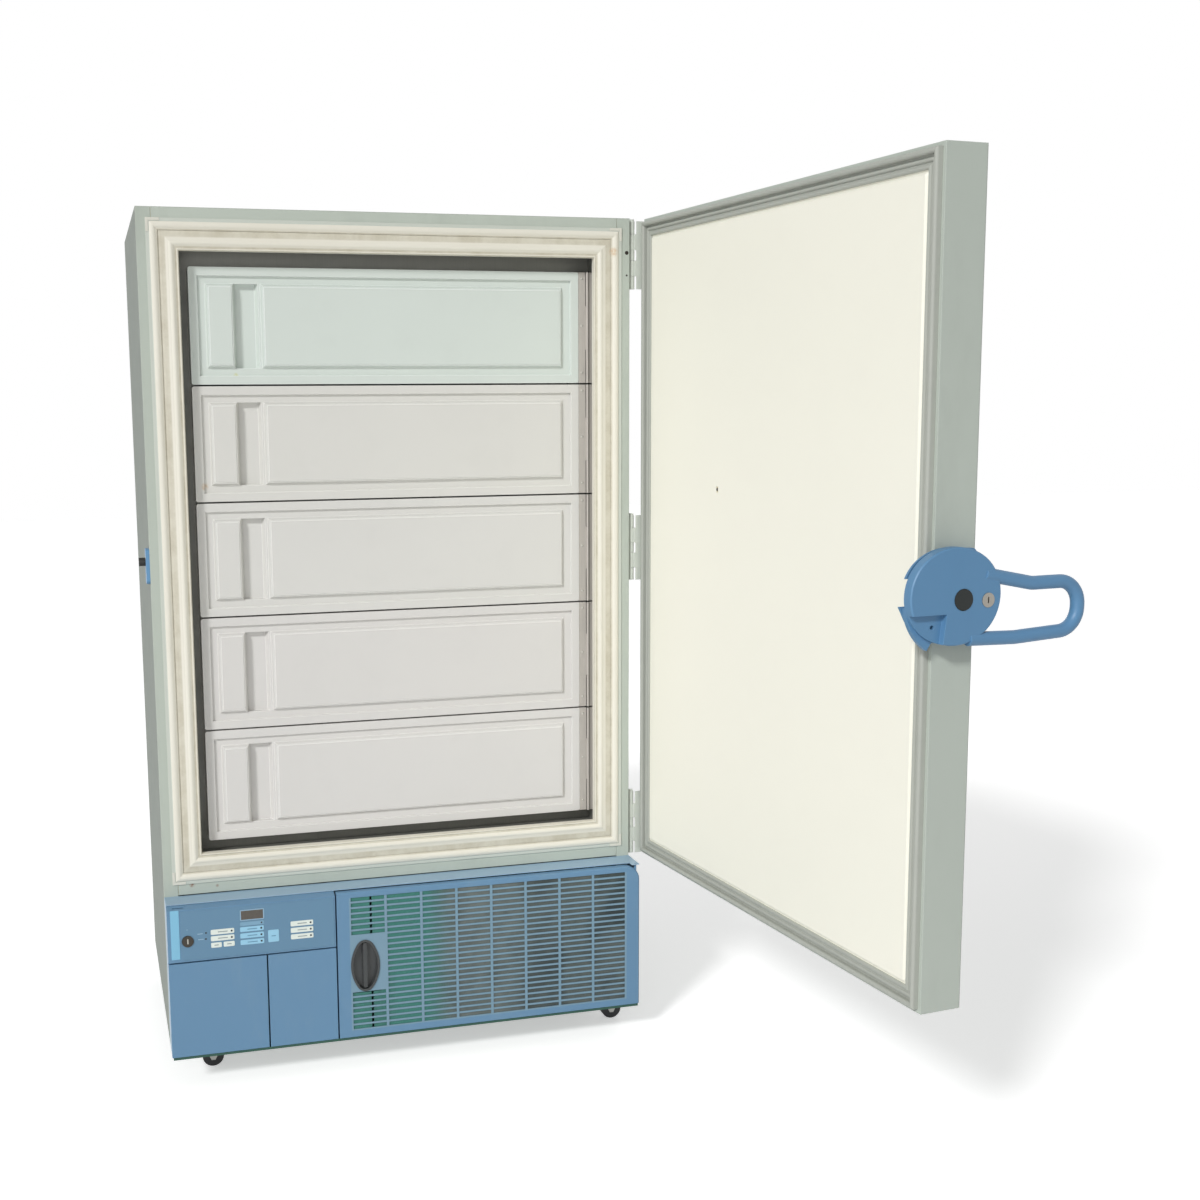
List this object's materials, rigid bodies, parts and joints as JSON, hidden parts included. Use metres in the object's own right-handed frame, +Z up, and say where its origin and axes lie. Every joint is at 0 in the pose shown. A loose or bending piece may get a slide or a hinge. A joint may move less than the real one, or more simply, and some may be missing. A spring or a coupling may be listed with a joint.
{
  "type": "ultra low temperature upright freezer",
  "caption": "Upright laboratory freezer with an open insulated outer door, inner doors behind a ribbed breaker frame, a loop handle latch, a slotted base grille and casters.",
  "frame": {"origin": "on the floor, under the middle of the whole object with its outer door open as at rest", "axes": "+Z up; -Y out of the cabinet's front, where the user stands; +X to the hinge side"},
  "size_m": [1.6139, 1.91, 1.98],
  "materials": {
    "cabinet_paint": "satin grey-green enamel",
    "galvanised": "satin grey",
    "foam": "closed-cell foam",
    "tank_steel": "rolled",
    "breaker_plastic": "satin cream",
    "cover_plastic": "satin",
    "hinge_steel": "rolled",
    "hinge_paint": "satin grey-green enamel",
    "blue_paint": "satin blue enamel",
    "handle_paint": "casting, painted satin blue",
    "latch_steel": "dark oiled",
    "base_paint": "satin dark green",
    "overlay_film": "satin film",
    "display": "gloss dark",
    "condenser_aluminium": "dusty",
    "shroud_paint": "satin black",
    "compressor_paint": "satin teal",
    "black_plastic": "satin",
    "caster_steel": "zinc plated",
    "liner_plastic": "satin off-white",
    "gasket": "soft grey",
    "lock_metal": "nickel plated",
    "inner_door_plastic": "satin off-white",
    "fan_plastic": "satin black",
    "caster_rubber": "hard dark tread"
  },
  "bodies": {
    "cabinet": {"cabinet_wrap": "cabinet_paint", "front_rails": "cabinet_paint", "rear_panel": "galvanised", "insulation": "foam", "cavity_liner": "tank_steel", "breaker_strip": "breaker_plastic", "corner_covers": "cover_plastic", "shelves": "tank_steel", "shelf_supports": "tank_steel", "inner_frame_leaves": "hinge_steel", "cabinet_hinge_leaves": "hinge_paint", "strike_plate": "blue_paint", "strike_pin": "latch_steel", "base_frame": "base_paint", "front_ledge": "blue_paint", "control_panel": "blue_paint", "control_overlay": "overlay_film", "display_window": "display", "lower_left_panel": "blue_paint", "lower_middle_panel": "blue_paint", "condenser_coil": "condenser_aluminium", "fan_bracket": "shroud_paint", "fan_motor": "shroud_paint", "compressors": "compressor_paint", "rear_vent_cover": "galvanised", "power_inlet": "black_plastic", "caster_plates": "caster_steel"},
    "outer_door": {"door_skin": "cabinet_paint", "door_insulation": "foam", "door_liner": "liner_plastic", "door_gasket": "gasket", "door_hinge_leaves": "hinge_paint", "handle_base": "handle_paint", "pivot_cap": "black_plastic"},
    "handle": {"latch_hook": "latch_steel", "door_handle": "handle_paint"},
    "door_lock": {"door_lock": "lock_metal"},
    "key_switch": {"key_switch": "lock_metal"},
    "grille_door": {"grille_door": "blue_paint", "grille_latch": "black_plastic"},
    "fan": {"condenser_fan": "fan_plastic"},
    "inner_door_1": {"inner_door_1": "inner_door_plastic", "inner_door_leaf_1": "hinge_steel"},
    "inner_door_2": {"inner_door_2": "inner_door_plastic", "inner_door_leaf_2": "hinge_steel"},
    "inner_door_3": {"inner_door_3": "inner_door_plastic", "inner_door_leaf_3": "hinge_steel"},
    "inner_door_4": {"inner_door_4": "inner_door_plastic", "inner_door_leaf_4": "hinge_steel"},
    "inner_door_5": {"inner_door_5": "inner_door_plastic", "inner_door_leaf_5": "hinge_steel"},
    "caster_swivel_1": {"caster_fork_1": "caster_steel"},
    "caster_wheel_1": {"caster_wheel_1": "caster_rubber"},
    "caster_swivel_2": {"caster_fork_2": "caster_steel"},
    "caster_wheel_2": {"caster_wheel_2": "caster_rubber"},
    "caster_swivel_3": {"caster_fork_3": "caster_steel"},
    "caster_wheel_3": {"caster_wheel_3": "caster_rubber"},
    "caster_swivel_4": {"caster_fork_4": "caster_steel"},
    "caster_wheel_4": {"caster_wheel_4": "caster_rubber"}
  },
  "joints": [
    {"name": "outer_door_hinge", "type": "hinge", "parent": "cabinet", "child": "outer_door", "pos_m": [0.35554, 0.22707, 1.2], "axis": [0, 0, 1], "range_deg": [-96, 24]},
    {"name": "handle_turn", "type": "hinge", "parent": "outer_door", "child": "handle", "pos_m": [0.53887, -0.93363, 1.205], "axis": [0.1045, -0.9945, 0], "range_deg": [-30, 0]},
    {"name": "door_lock_turn", "type": "hinge", "parent": "handle", "child": "door_lock", "pos_m": [0.59163, -0.93814, 1.202], "axis": [0.1045, -0.9945, 0], "range_deg": [0, 90]},
    {"name": "key_switch_turn", "type": "hinge", "parent": "cabinet", "child": "key_switch", "pos_m": [-0.73986, 0.13207, 0.3558], "axis": [0, 1, 0], "range_deg": [0, 90]},
    {"name": "grille_door_hinge", "type": "hinge", "parent": "cabinet", "child": "grille_door", "pos_m": [0.33754, 0.14207, 0.26], "axis": [0, 0, 1], "range_deg": [0, 110]},
    {"name": "condenser_fan_spin", "type": "hinge", "parent": "cabinet", "child": "fan", "pos_m": [0.07554, 0.29407, 0.26], "axis": [0, 1, 0], "continuous": true},
    {"name": "inner_door_hinge_1", "type": "hinge", "parent": "cabinet", "child": "inner_door_1", "pos_m": [0.25254, 0.24807, 1.7269], "axis": [0, 0, 1], "range_deg": [0, 95]},
    {"name": "inner_door_hinge_2", "type": "hinge", "parent": "cabinet", "child": "inner_door_2", "pos_m": [0.25254, 0.24807, 1.4651], "axis": [0, 0, 1], "range_deg": [0, 95]},
    {"name": "inner_door_hinge_3", "type": "hinge", "parent": "cabinet", "child": "inner_door_3", "pos_m": [0.25254, 0.24807, 1.2033], "axis": [0, 0, 1], "range_deg": [0, 95]},
    {"name": "inner_door_hinge_4", "type": "hinge", "parent": "cabinet", "child": "inner_door_4", "pos_m": [0.25254, 0.24807, 0.9415], "axis": [0, 0, 1], "range_deg": [0, 95]},
    {"name": "inner_door_hinge_5", "type": "hinge", "parent": "cabinet", "child": "inner_door_5", "pos_m": [0.25254, 0.24807, 0.6797], "axis": [0, 0, 1], "range_deg": [0, 95]},
    {"name": "caster_swivel_1", "type": "hinge", "parent": "cabinet", "child": "caster_swivel_1", "pos_m": [-0.71946, 0.26707, 0.06], "axis": [0, 0, 1], "continuous": true},
    {"name": "caster_roll_1", "type": "hinge", "parent": "caster_swivel_1", "child": "caster_wheel_1", "pos_m": [-0.68446, 0.26707, 0.025], "axis": [0, 1, 0], "continuous": true},
    {"name": "caster_swivel_2", "type": "hinge", "parent": "cabinet", "child": "caster_swivel_2", "pos_m": [0.28054, 0.26707, 0.06], "axis": [0, 0, 1], "continuous": true},
    {"name": "caster_roll_2", "type": "hinge", "parent": "caster_swivel_2", "child": "caster_wheel_2", "pos_m": [0.31554, 0.26707, 0.025], "axis": [0, 1, 0], "continuous": true},
    {"name": "caster_swivel_3", "type": "hinge", "parent": "cabinet", "child": "caster_swivel_3", "pos_m": [-0.71946, 0.89207, 0.06], "axis": [0, 0, 1], "continuous": true},
    {"name": "caster_roll_3", "type": "hinge", "parent": "caster_swivel_3", "child": "caster_wheel_3", "pos_m": [-0.68446, 0.89207, 0.025], "axis": [0, 1, 0], "continuous": true},
    {"name": "caster_swivel_4", "type": "hinge", "parent": "cabinet", "child": "caster_swivel_4", "pos_m": [0.28054, 0.89207, 0.06], "axis": [0, 0, 1], "continuous": true},
    {"name": "caster_roll_4", "type": "hinge", "parent": "caster_swivel_4", "child": "caster_wheel_4", "pos_m": [0.31554, 0.89207, 0.025], "axis": [0, 1, 0], "continuous": true}
  ]
}
